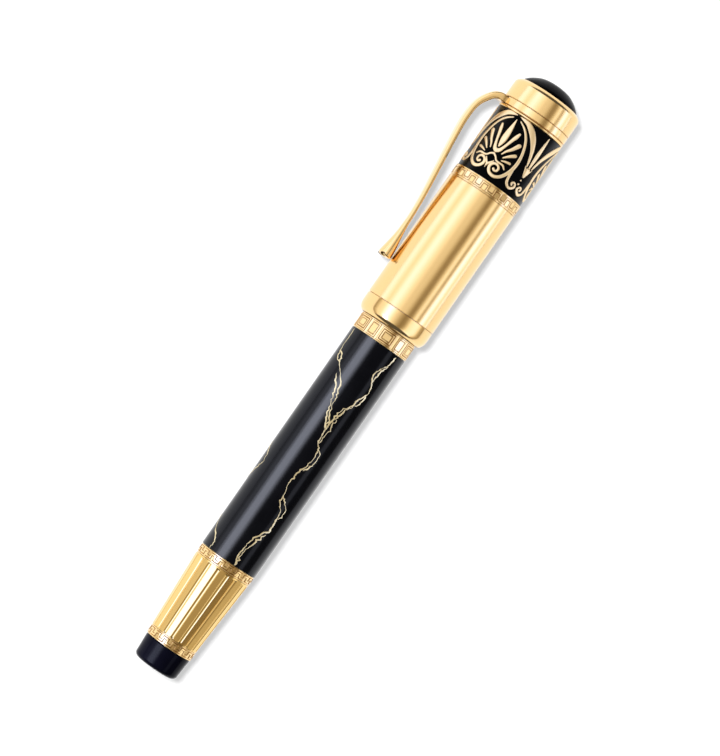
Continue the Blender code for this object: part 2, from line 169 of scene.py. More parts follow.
GOLD_TONE = (0.94, 0.655, 0.30)
AXIAL = (0.08, 1.0, 1.0)
M = {
    "gold": metal("polished_gold", GOLD_TONE, 0.17, 0.96, stretch=AXIAL),
    "lip": metal("lip_gold", GOLD_TONE, 0.12, 0.97),
    "fluted": metal("fluted_gold", (0.93, 0.64, 0.24), 0.13, 0.95, stretch=AXIAL),
    "relief": metal("relief_gold", (0.97, 0.74, 0.42), 0.42, 0.94, scale=700.0),
    "ring": metal("ring_gold", (0.98, 0.72, 0.35), 0.13, 0.97, scale=900.0),
    # dark gold for the walls of the key patterns: painted shade in their recesses
    "groove": metal("painted_shade_gold", (0.52, 0.27, 0.08), 0.30, 0.85, scale=1500.0),
    "vein": metal("vein_gold", (0.95, 0.80, 0.48), 0.32, 0.72, scale=1400.0, bump_mm=0.005),
    "clip": metal("clip_gold", GOLD_TONE, 0.14, 0.96),
    "brass": metal("bare_brass", (0.72, 0.52, 0.24), 0.34, 0.8, scale=500.0,
                   stretch=(6.0, 0.2, 0.2), bump_mm=0.003),
    # dark gold for the clip end's hollows: painted shade inside them
    "hollow": metal("painted_shade_hollow", (0.20, 0.13, 0.05), 0.26, 0.6, scale=900.0),
    "steel": metal("bright_steel", (0.62, 0.62, 0.64), 0.26, 0.86, scale=600.0),
    "carbide": metal("carbide", (0.40, 0.40, 0.42), 0.18, 0.8, scale=2500.0),
    "lacquer": lacquer("barrel_lacquer", (0.0012, 0.0012, 0.0016), 0.15, 2.0, 0.25,
                       (0.80, 0.84, 1.0)),
    "dome": lacquer("dome_lacquer", (0.002, 0.002, 0.003), 0.24, 1.8, 0.4, (0.82, 0.86, 1.0),
                    ior=1.12),
    "finial": lacquer("finial_lacquer", (0.0016, 0.0016, 0.0040), 0.14, 1.8, 0.06,
                      (0.70, 0.76, 1.0)),
    "ground": lacquer("engraved_ground", (0.003, 0.003, 0.0035), 0.30, 2.0, 0.30,
                      (0.85, 0.88, 1.0), scale=900.0),
    "resin": lacquer("grip_resin", (0.010, 0.010, 0.012), 0.18, 1.5, 0.5),
    "plastic": lacquer("grey_plastic", (0.09, 0.09, 0.10), 0.46, 1.25, 0.5, scale=500.0),
    "refill": lacquer("refill_plastic", (0.030, 0.030, 0.036), 0.38, 1.4, 0.5, scale=300.0),
    "fibre": lacquer("ink_fibre", (0.02, 0.02, 0.05), 0.85, 2.2, 0.2, scale=2600.0),
}


# ==== mesh helpers ======================================================================

# the lights are set up for each group of pieces on its own, as a studio flags its lights
GOLD_SET, LIP_SET, TAIL_SET, DARK_SET, DIM_SET, FLOOR_SET = (
    bpy.data.collections.new(f"{name}_receivers")
    for name in ("gold", "lip", "tail", "dark", "dim", "floor"))
LIT_BY = {"lip": LIP_SET, "lacquer": DARK_SET, "finial": DARK_SET, "resin": DARK_SET,
          "dome": DIM_SET, "ground": DIM_SET}


def finish_piece(name, verts, faces, body, mat, cad=(), smooth_deg=32.0, wall_shade_mat=None):
    """A mesh piece from world points, shaded smooth with sharp edges, riding on a body.

    With a wall material given, the faces that stand steeply on the pen's round surface get that
    material: a darker gold that paints the shade in the recesses.
    """
    mesh = bpy.data.meshes.new(name)
    mesh.from_pydata([tuple(v) for v in verts], [], faces)
    bm = bmesh.new()
    bm.from_mesh(mesh)
    bmesh.ops.remove_doubles(bm, verts=bm.verts, dist=1e-7)
    bmesh.ops.recalc_face_normals(bm, faces=bm.faces)
    bm.to_mesh(mesh)
    bm.free()
    mesh.shade_smooth()
    mesh.set_sharp_from_angle(angle=math.radians(smooth_deg))
    obj = bpy.data.objects.new(name, mesh)
    bpy.context.scene.collection.objects.link(obj)
    obj.visible_diffuse = False      # keeps the pen's colour off the floor
    LIT_BY.get(mat, TAIL_SET if name.startswith("tail_") else GOLD_SET).objects.link(obj)
    obj.data.materials.append(M[mat])
    # the steep wall faces get the second material, a darker gold that paints the shade in recesses
    if wall_shade_mat:
        obj.data.materials.append(M[wall_shade_mat])
        for poly in mesh.polygons:
            out = poly.center - world(0, 0, HALF_LENGTH - poly.center.x / MM)
            if abs(poly.normal.dot(out.normalized())) < 0.85:
                poly.material_index = 1
    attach(obj, body)
    if cad:
        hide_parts(*cad)
    return obj


def arc(cr, cs, radius, start, end, steps=10):
    """Points of a profile on a circle about (cr, cs), from one angle to another in degrees."""
    turns = [math.radians(start + (end - start) * k / steps) for k in range(steps + 1)]
    return [(cr + radius * math.cos(t), cs + radius * math.sin(t)) for t in turns]


def soften(points, radius, steps=3):
    """Round each corner of a closed (r, s) outline by about `radius`, for the light to catch."""
    out, n = [], len(points)
    for i, p in enumerate(points):
        a, b, c = Vector(points[i - 1]), Vector(p), Vector(points[(i + 1) % n])
        d1, d2 = a - b, c - b
        on_axis = p[0] < 1e-6
        if on_axis or radius <= 0 or d1.length < 1e-6 or d2.length < 1e-6 or (
                math.degrees(d1.angle(d2)) > 165.0):
            out.append(tuple(p))
            continue
        cutoff = min(radius, d1.length * 0.45, d2.length * 0.45)
        start, end = b + d1.normalized() * cutoff, b + d2.normalized() * cutoff
        for k in range(steps + 1):
            t = k / steps
            q = start * (1 - t) ** 2 + b * 2 * t * (1 - t) + end * t ** 2
            out.append((q.x, q.y))
    return out


def lathe(name, profile, body, mat, slot, cad=(), angles=None, edge=0.05, shape=None,
          smooth_deg=32.0, smooth_pass=True):
    """Turn a closed (r, s) outline round the pen. `shape(r, deg, s)` may move a point."""
    pts = soften(profile, edge) if smooth_pass else list(profile)
    angles = angles or [360.0 * k / 160 for k in range(160)]
    verts, faces = [], []
    n, m = len(pts), len(angles)
    for deg in angles:
        for r, s in pts:
            if shape and r > 1e-6:
                r, s = shape(r, deg, s)
            verts.append(around(r, deg, s))
    for k in range(m):
        a, b = k * n, ((k + 1) % m) * n
        for i in range(n):
            j = (i + 1) % n
            flat_i, flat_j = pts[i][0] < 1e-6, pts[j][0] < 1e-6
            if flat_i and flat_j:
                continue
            if flat_i:
                faces.append([a + i, a + j, b + j])
            elif flat_j:
                faces.append([a + i, a + j, b + i])
            else:
                faces.append([a + i, a + j, b + j, b + i])
    return finish_piece(name, verts, faces, body, mat, cad, smooth_deg)


def span(node):
    """(lower station, upper station, largest radius) of a round CAD node, in mm."""
    lo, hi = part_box(node)
    return HALF_LENGTH - hi.x / MM, HALF_LENGTH - lo.x / MM, (hi.z - lo.z) / MM / 2


def body_name(node):
    return frame["nodes"][node]["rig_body"]


def turned(node, mat, slot, outline, **how):
    """A finely turned piece in place of a round CAD node; `outline(a, b, r)` gives its profile."""
    a, b, r = span(node)
    return lathe(node + "_fine", outline(a, b, r), body_name(node), mat, slot, (node,), **how)


def spline(points, per_span=6):
    """Catmull-Rom through points of any size."""
    if len(points) < 3:
        return [tuple(p) for p in points]
    ext = [points[0], *points, points[-1]]
    out = []
    for i in range(1, len(ext) - 2):
        p0, p1, p2, p3 = ext[i - 1:i + 3]
        for k in range(per_span):
            t = k / per_span
            out.append(tuple(
                0.5 * (2 * b + (c - a) * t + (2 * a - 5 * b + 4 * c - d) * t * t
                       + (3 * b - a - 3 * c + d) * t ** 3)
                for a, b, c, d in zip(p0, p1, p2, p3)))
    out.append(tuple(points[-1]))
    return out


class Relief:
    """Raised strokes on the pen's round surface, gathered into one mesh.

    A stroke is a line of (deg, s, width) points: degrees round the pen, station and width in mm.
    `skirt` is how far a stroke's walls spread at their foot, `sink` how deep they go under the
    surface.
    """

    # across a stroke: share of the half width, share of the height (None is the foot)
    SECTION = ((-1.0, None), (-0.88, 0.66), (-0.62, 1.0), (0.62, 1.0), (0.88, 0.66), (1.0, None))

    def __init__(self, radius, height, skirt=0.0, sink=0.03):
        self.radius, self.height, self.skirt, self.sink = radius, height, skirt, sink
        self.scale = PER_DEG * radius    # mm along the surface for each degree
        self.verts, self.faces = [], []

    def _place(self, u, s, h):
        lift = -self.sink if h is None else h * self.height
        self.verts.append(around(self.radius + lift, u / self.scale, s))

    def _directions(self, flat):
        steps = []
        for a, b in zip(flat, flat[1:]):
            d = Vector((b[0] - a[0], b[1] - a[1]))
            steps.append(d.normalized() if d.length > 1e-9 else Vector((0, 1)))
        return [steps[0], *steps, steps[-1]]

    def stroke(self, line, first="round", last="round", closed=False):
        """Ends are "round" or "flat"; a closed line ends where it starts and needs neither."""
        flat = [(d * self.scale, s, w) for d, s, w in line]
        ways = self._directions(flat)
        if closed:
            ways[0], ways[-1] = ways[-1], ways[0]
        rows = []
        for i, (u, s, w) in enumerate(flat):
            t = ways[i] + ways[i + 1]
            t = t.normalized() if t.length > 1e-6 else ways[i]
            mitre = 1.0 / max(t.dot(ways[i]), 0.6)
            rows.append((Vector((u, s)), t, w / 2 * mitre))
        if not closed:
            rows = self._with_caps(rows, first, last)
        start, per = len(self.verts), len(self.SECTION)
        for p, t, half in rows:
            side = Vector((-t.y, t.x))
            for k, h in self.SECTION:
                foot = math.copysign(self.skirt, k) if h is None else 0.0
                q = p + side * (half * k + foot)
                self._place(q.x, q.y, h)
        for i in range(len(rows) - 1):
            a, b = start + i * per, start + (i + 1) * per
            for k in range(per):
                j = (k + 1) % per
                self.faces.append([a + k, a + j, b + j, b + k])
        if not closed:
            end = start + (len(rows) - 1) * per
            self.faces.append([start + k for k in reversed(range(per))])
            self.faces.append([end + k for k in range(per)])

    def _with_caps(self, rows, first, last):
        """Extra rows past the ends, narrowing as a half circle."""
        def cap(row, sign):
            p, t, half = row
            return [(p + t * (sign * half * k), t, half * math.sqrt(1 - k * k))
                    for k in (0.4, 0.72, 0.93)]
        out = list(rows)
        if first == "round":
            out = list(reversed(cap(rows[0], -1))) + out
        if last == "round":
            out = out + cap(rows[-1], 1)
        return out

    def patch(self, outline, rim=0.07):
        """A filled flat-topped shape with a bevelled rim of `rim` mm, from a (deg, s) outline."""
        pts = [Vector((d * self.scale, s)) for d, s in outline]
        centre = sum(pts, Vector((0, 0))) / len(pts)
        start, n = len(self.verts), len(pts)
        for inset, h in ((-self.skirt, None), (0.4 * rim, 0.66), (rim, 1.0)):
            for p in pts:
                d = p - centre
                q = centre + d * max(1.0 - inset / max(d.length, 1e-6), 0.1)
                self._place(q.x, q.y, h)
        for ring in range(2):
            a, b = start + ring * n, start + (ring + 1) * n
            for i in range(n):
                j = (i + 1) % n
                self.faces.append([a + i, a + j, b + j, b + i])
        self.faces.append([start + i for i in reversed(range(n))])
        self.faces.append([start + 2 * n + i for i in range(n)])

    def path(self, corners, width, step_deg=2.5, closed=False):
        """A stroke of even width through (deg, s) corners, straight between them."""
        line = []
        for (d0, s0), (d1, s1) in zip(corners, corners[1:]):
            parts = max(1, math.ceil(abs(d1 - d0) / step_deg))
            line += [(d0 + (d1 - d0) * k / parts, s0 + (s1 - s0) * k / parts, width)
                     for k in range(parts)]
        line.append((*corners[-1], width))
        self.stroke(line, "flat", "flat", closed)

    def frame(self, deg, half_deg, s0, s1, width):
        """A rectangular line about `deg`, between two stations."""
        self.path([(deg, s0), (deg + half_deg, s0), (deg + half_deg, s1), (deg - half_deg, s1),
                   (deg - half_deg, s0), (deg, s0)], width, closed=True)

    def block(self, deg, half_deg, s0, s1):
        self.patch([(deg - half_deg, s0), (deg + half_deg, s0), (deg + half_deg, s1),
                    (deg - half_deg, s1)])

    # a wall material here is the dark gold of painted shade on the strokes' walls
    def make(self, name, node, mat, wall_shade_mat=None):
        return finish_piece(name, self.verts, self.faces, body_name(node), mat,
                            smooth_deg=50.0, wall_shade_mat=wall_shade_mat)


# ==== turned pieces ================================================================================

KEY_LIFT = 0.13         # height of the key pattern over its ring's ground
KEY_SKIRT = 0.065       # how far the pattern's sloping walls spread at their foot
ORNAMENT_LIFT = 0.12    # height of the gold ornament over the black ground
VEIN_LIFT = 0.035       # height of the barrel's veins over its lacquer
SEAM = 0.07             # the gap that the CAD leaves between pieces that meet end to end
SEAM_STEP, SEAM_DEPTH = 0.065, 0.24      # a gold piece steps down where it meets the next one


def tube(a, b, r, bore):
    return [(bore, a), (r, a), (r, b), (bore, b)]


def stepped(a, b, r, bore):
    inner = r - SEAM_DEPTH
    return [(bore, a), (inner, a), (inner, a + SEAM_STEP), (r, a + SEAM_STEP),
            (r, b - SEAM_STEP), (inner, b - SEAM_STEP), (inner, b), (bore, b)]


def key_ring(bore, low_rail, top_rail):
    """A ring with a raised rail at each end and a lower band between them for the key pattern."""
    def outline(a, b, r):
        ground = r - KEY_LIFT
        ends = stepped(a, b, r, bore)
        low_end, top_end = ends[1:3], ends[5:7]
        return [(bore, a), *low_end, (r, a + SEAM_STEP), (r, a + low_rail),
                (ground, a + low_rail + 0.03), (ground, b - top_rail - 0.03),
                (r, b - top_rail), (r, b - SEAM_STEP), *top_end, (bore, b)]
    return outline


# -- tail --
def finial(a, b, r):
    rounded = arc(3.80, 1.02, 1.02, -90, 0, 12)
    return [(0, a), *rounded, (4.86, 1.9), (4.95, 3.2), (r, b - 0.25), (4.95, b - 0.07),
            (3.0, b - 0.07), (3.0, 2.6), (0, 2.6)]


turned("tail_finial", "finial", "black_lacquer", finial, edge=0.04)
turned("tail_lower_key_ring", "ring", "gold_plate", key_ring(4.72, 0.22, 0.22), edge=0.03)
turned("tail_upper_key_ring", "ring", "gold_plate", key_ring(4.90, 0.22, 0.24), edge=0.03)

FLUTES = 18
FLUTE_PITCH = 360.0 / FLUTES
FLUTE_START = 97.0      # a groove's centre
PANEL_HALF = 5.8        # half of a flat panel, in degrees
GROOVE_SLOPE = math.radians(48.0)       # how steeply a hollow groove meets its panels
SLEEVE_LOW, SLEEVE_HIGH, _ = span("tail_fluted_sleeve")
FLUTES_START, FLUTES_END = SLEEVE_LOW + 0.08, SLEEVE_HIGH - 0.24
FLUTE_FADE = 0.22       # length over which a groove runs out


def fluted(r, deg, s):
    """Flat panels with a hollow groove between them, fading into a round rim at each end."""
    if r < 5.0:
        return r, s
    off = abs((deg - FLUTE_START) % FLUTE_PITCH - FLUTE_PITCH / 2)
    fade = min(max((s - FLUTES_START) / FLUTE_FADE, 0.0),
               max((FLUTES_END - s) / FLUTE_FADE, 0.0), 1.0)
    flat = math.cos(math.radians(PANEL_HALF)) / math.cos(math.radians(min(off, PANEL_HALF)))
    per_deg = PER_DEG * r
    half = (FLUTE_PITCH / 2 - PANEL_HALF) * per_deg
    hollow = half / math.sin(GROOVE_SLOPE)
    x = min((FLUTE_PITCH / 2 - off) * per_deg, half)
    groove = math.sqrt(hollow ** 2 - x ** 2) - hollow * math.cos(GROOVE_SLOPE)
    return r * (1 + (flat - 1) * fade) - groove * fade, s


def fluted_outline(a, b, r):
    """The sleeve widens upwards; its wall has extra stations where the grooves run out."""
    wall = [(5.22 + 0.92 * t, a + (FLUTES_END - a) * t)
            for t in (0.0, 0.005, 0.018, 0.25, 0.5, 0.75, 0.986, 0.995, 1.0)]
    return [(4.90, a), *wall, (6.14, b - 0.14), (6.14, b - 0.05), (5.95, b - 0.05), (5.95, b),
            (4.90, b)]


FLUTE_ANGLES = [FLUTE_START + FLUTE_PITCH * k + d for k in range(FLUTES)
                for d in (-4.2, -3.4, -2.4, -1.2, 0, 1.2, 2.4, 3.4, 4.2, 7.1, 10, 12.9)]
turned("tail_fluted_sleeve", "fluted", "gold_plate", fluted_outline, angles=FLUTE_ANGLES,
       shape=fluted, smooth_deg=17.0, smooth_pass=False)

# -- barrel --
turned("barrel_shell", "lacquer", "veined_lacquer",
       lambda a, b, r: tube(a, b, r - VEIN_LIFT, 4.95), edge=0.06)
turned("barrel_mouth_ring", "ring", "gold_plate", key_ring(5.62, 0.20, 0.20), edge=0.03)


def threaded(r_low, r_high, low, high, pitch=0.5, depth=0.10):
    """A thread's rounded crests, as a wave between two radii and two stations."""
    def shape(r, deg, s):
        if r_low < r < r_high and low < s < high:
            return r - depth * (0.5 - 0.5 * math.cos(2 * math.pi * (s / pitch - deg / 360.0))), s
        return r, s
    return shape


def thread_stations(low, high, step=0.0625):
    return [low + step * k for k in range(int((high - low) / step) + 1)]


def bush(a, b, r):
    return [(4.20, a), (4.82, a), (4.82, b - 3.43), (r, b - 3.43), (r, b), (4.20, b)]


turned("barrel_thread_bush", "brass", "bare_brass", bush)
turned("barrel_liner", "brass", "bare_brass", lambda a, b, r: tube(a, b, r, 3.90))


# -- writing section --
def collar(a, b, r):
    thread = [(4.05, s) for s in thread_stations(a + 0.6, a + 8.6)]
    return [(3.30, a), (3.95, a), *thread, (4.05, 83.1), (r, 83.1), (r, 86.6), (4.05, 86.6),
            (4.05, b), (3.30, b)]


def grip(a, b, r):
    side = spline([(4.85, a), (4.85, a + 1.62), (4.62, 94.5), (4.50, 101.0), (4.58, 106.5),
                   (4.90, b - 1.7)], 6)
    return [(3.30, a), *side, (4.90, b - 0.5), (4.70, b), (3.30, b)]


def nose(a, b, r):
    side = spline([(4.45, a), (4.10, a + 1.33), (3.15, a + 3.73), (2.05, b - 0.3)], 6)
    return [(3.30, a), *side, (1.85, b), (1.42, b), (1.42, a + 3.23), (3.30, a + 1.43)]


THREAD_LOW, THREAD_HIGH = 68.3, 76.5
turned("section_thread_collar", "brass", "bare_brass", collar, edge=0.0,
       shape=threaded(4.0, 4.1, THREAD_LOW, THREAD_HIGH))
turned("section_trim_ring", "gold", "gold_plate", lambda a, b, r: tube(a, b, r, 4.20), edge=0.25)
turned("grip_section", "resin", "black_resin", grip)
turned("grip_end_ring", "gold", "gold_plate", lambda a, b, r: tube(a, b, r, 3.30), edge=0.30)
turned("nose_cone", "gold", "gold_plate", nose)


# -- refill --
def point(a, b, r):
    return [(0.30, a), (r, a), (r, 121.5), (0.92, 122.1), (0.44, b), (0.40, 122.75),
            (0.30, 122.45)]


turned("refill_tube", "refill", "moulded_plastic", lambda a, b, r: tube(a, b, r, 2.70))
turned("refill_point", "steel", "spring_steel", point, edge=0.03)

SPRING_WIRE, SPRING_TURNS, REFILL_TRAVEL = 0.20, 4, 0.8


def spring():
    """The coil behind the refill, as one fixed mesh; the real coil shortens as the refill is
    pressed.
    """
    low, high, r = span("refill_spring")
    coil, first, last = r - SPRING_WIRE, low + SPRING_WIRE, high - SPRING_WIRE
    steps, sides = 30 * SPRING_TURNS, 10
    rise = (last - first) / (2 * math.pi * SPRING_TURNS)
    verts, faces = [], []
    for k in range(steps + 1):
        a = 2 * math.pi * SPRING_TURNS * k / steps
        out = Vector((math.cos(a), math.sin(a), 0))
        up = Vector((-coil * math.sin(a), coil * math.cos(a), rise)).cross(out).normalized()
        centre = out * coil + Vector((0, 0, first + (last - first) * k / steps))
        for i in range(sides):
            b = 2 * math.pi * i / sides
            p = centre + (out * math.cos(b) + up * math.sin(b)) * SPRING_WIRE
            verts.append(world(*p))
    for k in range(steps):
        for i in range(sides):
            j = (i + 1) % sides
            faces.append([k * sides + i, k * sides + j, (k + 1) * sides + j, (k + 1) * sides + i])
    faces += [list(reversed(range(sides))), [steps * sides + i for i in range(sides)]]
    obj = finish_piece("refill_spring_fine", verts, faces, body_name("refill_spring"), "steel",
                       ("refill_spring",), 60.0)
    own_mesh(obj)


spring()

# -- cap --
def lip(a, b, r):
    side = spline([(6.62, a), (6.82, a + 0.08), (7.15, a + 0.40), (7.40, a + 0.82),
                   (7.56, a + 1.29), (7.63, a + 1.84), (r, a + 2.64)], 6)
    return [(6.60, a), *side, (r, b - SEAM_STEP), (r - SEAM_DEPTH, b - SEAM_STEP),
            (r - SEAM_DEPTH, b), (6.60, b)]


def bead(a, b, r):
    return [(7.00, a), (r - 0.22, a), *arc(r - 0.3, (a + b) / 2, 0.3, -62, 62, 8), (r - 0.22, b),
            (7.00, b)]


turned("cap_lip", "lip", "gold_plate", lip, edge=0.04)
turned("cap_body", "gold", "gold_plate", lambda a, b, r: stepped(a, b, r, 7.00), edge=0.05)
turned("cap_key_ring", "ring", "gold_plate", key_ring(7.00, 0.20, 0.22), edge=0.03)
turned("engraved_sleeve", "ground", "engraved_lacquer",
       lambda a, b, r: tube(a, b, r - ORNAMENT_LIFT, 7.00))
turned("cap_bead_ring", "gold", "gold_plate", bead, edge=0.0)


def crown(a, b, r):
    return [(6.35, a), (r - SEAM_DEPTH, a), (r - SEAM_DEPTH, a + SEAM_STEP), (r, a + SEAM_STEP),
            (r, a + 1.38), *arc(6.30, 135.90, 1.30, 12, 62, 10),
            (6.62, b - 0.05), (6.46, b), (1.50, b), (1.50, 136.0), (6.35, 136.0)]


turned("crown", "gold", "gold_plate", crown, edge=0.06)

def dome(a, b, r):
    top = spline([(r, a), (5.9, 137.95), (4.9, 138.75), (3.4, 139.55), (1.7, 139.92), (0, b)], 6)
    return [*top, (0, 138.45), (1.50, 138.45), (1.50, a)]


turned("crown_dome", "dome", "black_lacquer", dome, edge=0.0, smooth_deg=40.0)

# -- clip ring, open where the clip's root passes through --
NOTCH_HALF = 2.62


def clip_ring():
    """The ring turned from one side of the notch to the other."""
    a, b = span("cap_bead_ring")[1] + SEAM, span("crown")[0] - SEAM
    outline = soften([(5.62, a), (7.36, a), (7.36, a + 0.05), (7.60, a + 0.08), (7.60, b - 0.08),
                      (7.36, b - 0.05), (7.36, b), (5.62, b)], 0.03)
    verts, faces, n, steps = [], [], len(outline), 150
    for k in range(steps + 1):
        for r, s in outline:
            edge = math.degrees(math.asin(NOTCH_HALF / r))
            verts.append(around(r, edge + (360.0 - 2 * edge) * k / steps, s))
    for k in range(steps):
        for i in range(n):
            j = (i + 1) % n
            faces.append([k * n + i, k * n + j, (k + 1) * n + j, (k + 1) * n + i])
    faces.append(list(reversed(range(n))))
    faces.append([steps * n + i for i in range(n)])
    finish_piece("clip_ring_fine", verts, faces, "cap", "gold", ("clip_ring",))


clip_ring()


# ==== clip ===========================================================================

# sections of the clip: outer face (x, s), inner face (x, s), half width, and how square it is
CLIP = [
    (5.78, 132.36, 5.78, 131.15, 2.48, 12.0), (7.20, 132.36, 7.20, 131.12, 2.50, 12.0),
    (8.10, 132.60, 7.80, 131.02, 2.55, 9.0), (9.15, 132.38, 8.55, 130.92, 2.55, 6.0),
    (10.20, 131.70, 9.30, 130.42, 2.52, 5.0), (11.15, 130.40, 10.00, 129.42, 2.48, 4.5),
    (11.85, 128.95, 10.62, 128.30, 2.45, 4.5), (12.22, 127.40, 11.00, 127.05, 2.42, 4.5),
    (12.35, 125.10, 11.12, 125.00, 2.40, 4.5), (12.20, 122.30, 11.02, 122.35, 2.36, 4.5),
    (11.60, 117.50, 10.50, 117.60, 2.20, 4.5), (10.85, 112.00, 9.82, 112.15, 1.96, 4.5),
    (10.20, 107.00, 9.22, 107.10, 1.66, 4.3), (9.86, 103.00, 8.90, 103.00, 1.50, 4.0),
    (9.84, 100.20, 8.72, 100.10, 1.52, 3.4), (10.00, 97.60, 8.35, 97.30, 1.72, 2.8),
    (10.32, 95.40, 7.98, 95.00, 2.02, 2.4), (10.60, 93.60, 7.78, 93.35, 2.20, 2.2),
    (10.60, 93.18, 7.80, 93.05, 2.22, 2.2),
]
CLIP_SIDES = 48


def clip_loop(row):
    """The points round one section of the clip, as pen coordinates (x, y, s)."""
    ox, os_, ix, is_, half, square = row
    out = Vector(((ox - ix) / 2, (os_ - is_) / 2))
    mid = Vector(((ox + ix) / 2, (os_ + is_) / 2))
    loop = []
    for k in range(CLIP_SIDES):
        a = 2 * math.pi * k / CLIP_SIDES
        c, d = math.cos(a), math.sin(a)
        deep = math.copysign(abs(c) ** (2 / square), c)
        wide = math.copysign(abs(d) ** (2 / square), d)
        p = mid + out * deep
        loop.append(Vector((p.x, half * wide, p.y)))
    return loop


def clip():
    rows = [clip_loop(row) for row in spline(CLIP, 6)]
    rows += clip_end(rows[-1])
    verts = [world(*p) for row in rows for p in row]
    faces, n = [], CLIP_SIDES
    for i in range(len(rows) - 1):
        for k in range(n):
            j = (k + 1) % n
            faces.append([i * n + k, i * n + j, (i + 1) * n + j, (i + 1) * n + k])
    faces.append(list(reversed(range(n))))
    faces.append([(len(rows) - 1) * n + k for k in range(n)])
    finish_piece("clip_arm_fine", verts, faces, "clip", "clip", ("clip_arm",), 40.0)


def clip_end(last):
    """The rounded end face, with an oval hollow set towards its outer side."""
    centre = sum(last, Vector((0, 0, 0))) / len(last)
    hollow = centre + Vector((0.30, 0, 0))
    steps = [(0.97, -0.12, 0), (0.90, -0.28, 0), (0.80, -0.38, 0), (0.62, -0.44, 0.4),
             (0.50, -0.45, 1.0), (0.46, -0.42, 1.0), (0.40, -0.28, 1.0), (0.28, -0.10, 1.0),
             (0.12, -0.02, 1.0)]
    rows = []
    for scale, drop, into in steps:
        focus = centre.lerp(hollow, into)
        rows.append([focus + (p - centre) * scale + Vector((0, 0, drop)) for p in last])
    return rows


clip()


HOLLOW_LONG, HOLLOW_SHORT = 0.66, 0.40  # half the oval's length and width
# the hollow's rings: share of the oval's size, height along its direction
HOLLOW_RINGS = ((1.0, -0.12), (1.0, 0.03), (0.86, 0.05), (0.74, 0.0), (0.5, -0.05),
                (0.02, -0.06))


def clip_hollow(side):
    """A shallow oval hollow where the rounded end meets the clip's side; its dark gold paints the
    shade inside it.
    """
    centre, along = Vector((9.72, side * 1.93, 92.93)), Vector((1, 0, 0))
    out = Vector((0.10, side * 0.74, -0.66)).normalized()
    across = out.cross(along).normalized()
    verts, faces, n, rings = [], [], 28, HOLLOW_RINGS
    for scale, height in rings:
        for k in range(n):
            a = 2 * math.pi * k / n
            p = centre + along * (HOLLOW_LONG * scale * math.cos(a)) + out * height
            verts.append(world(*(p + across * (HOLLOW_SHORT * scale * math.sin(a)))))
    for i in range(len(rings) - 1):
        for k in range(n):
            j = (k + 1) % n
            faces.append([i * n + k, i * n + j, (i + 1) * n + j, (i + 1) * n + k])
    faces += [list(reversed(range(n))), [(len(rings) - 1) * n + k for k in range(n)]]
    # the hollow's dark gold is painted shade
    finish_piece(f"clip_hollow_{'upper' if side > 0 else 'lower'}", verts, faces, "clip", "hollow")


clip_hollow(1)
clip_hollow(-1)


# ==== key patterns ======================================================================

# the gaps read dark because the pattern's walls, spread by the skirt, carry the painted shade
LINE, GAP = 0.34, 0.10  # widths of the pattern's lines and of the dark gaps between them


def key_wave(relief, low, high, repeats, centre, width, blocks, tooth=0.26):
    """A square wave right round the ring, with a block in each bay if `blocks`."""
    pitch = 360.0 / repeats
    inset = (width / 2 + GAP) / relief.scale
    corners = [(centre - pitch / 2, high)]
    for k in range(repeats):
        c = centre + k * pitch
        corners += [(c - tooth * pitch, high), (c - tooth * pitch, low), (c + tooth * pitch, low),
                    (c + tooth * pitch, high), (c + pitch / 2, high)]
        if blocks:
            relief.block(c, tooth * pitch - inset, low + width / 2 + GAP, high + width / 2)
            relief.block(c + pitch / 2, (0.5 - tooth) * pitch - inset, low - width / 2,
                         high - width / 2 - GAP)
    relief.path(corners, width, closed=True)


def keyed_ring(name, node, repeats, centre, margin, width=LINE, blocks=True):
    a, b, r = span(node)
    relief = Relief(r - KEY_LIFT, KEY_LIFT, KEY_SKIRT)
    key_wave(relief, a + margin, b - margin, repeats, centre, width, blocks)
    # the pattern's walls get the dark groove material: painted shade
    relief.make(name, node, "ring", "groove")


keyed_ring("cap_key_pattern", "cap_key_ring", 16, 89.0, 0.54)
keyed_ring("tail_upper_key_pattern", "tail_upper_key_ring", 18, 84.0, 0.56, 0.50, False)
keyed_ring("tail_lower_key_pattern", "tail_lower_key_ring", 15, 80.0, 0.56, 0.48, False)

SQUARE_MID, SQUARE_HALF = 87.5, 14.2    # the mouth ring's nested squares, in degrees
BARS_MID, BARS_HALF = 117.5, 8.2        # and the narrow frames between them


def mouth_pattern():
    """Six nested squares with a narrow frame between each two."""
    a, b, r = span("barrel_mouth_ring")
    relief = Relief(r - KEY_LIFT, KEY_LIFT, KEY_SKIRT)
    low, high, inwards = a + 0.42, b - 0.42, LINE + GAP
    for k in range(6):
        for mid, half, lines, fill in ((SQUARE_MID + 60 * k, SQUARE_HALF, (0, 1), 1.6),
                                       (BARS_MID + 60 * k, BARS_HALF, (0,), 0.64)):
            for count in lines:
                inset = count * inwards
                relief.frame(mid, half - inset / relief.scale, low + inset, high - inset, LINE)
            inset = fill * inwards
            relief.block(mid, half - inset / relief.scale, low + inset, high - inset)
    # the pattern's walls get the dark groove material: painted shade
    relief.make("mouth_key_pattern", "barrel_mouth_ring", "ring", "groove")


mouth_pattern()


# ==== gold ornament of the cap sleeve ==============================================================

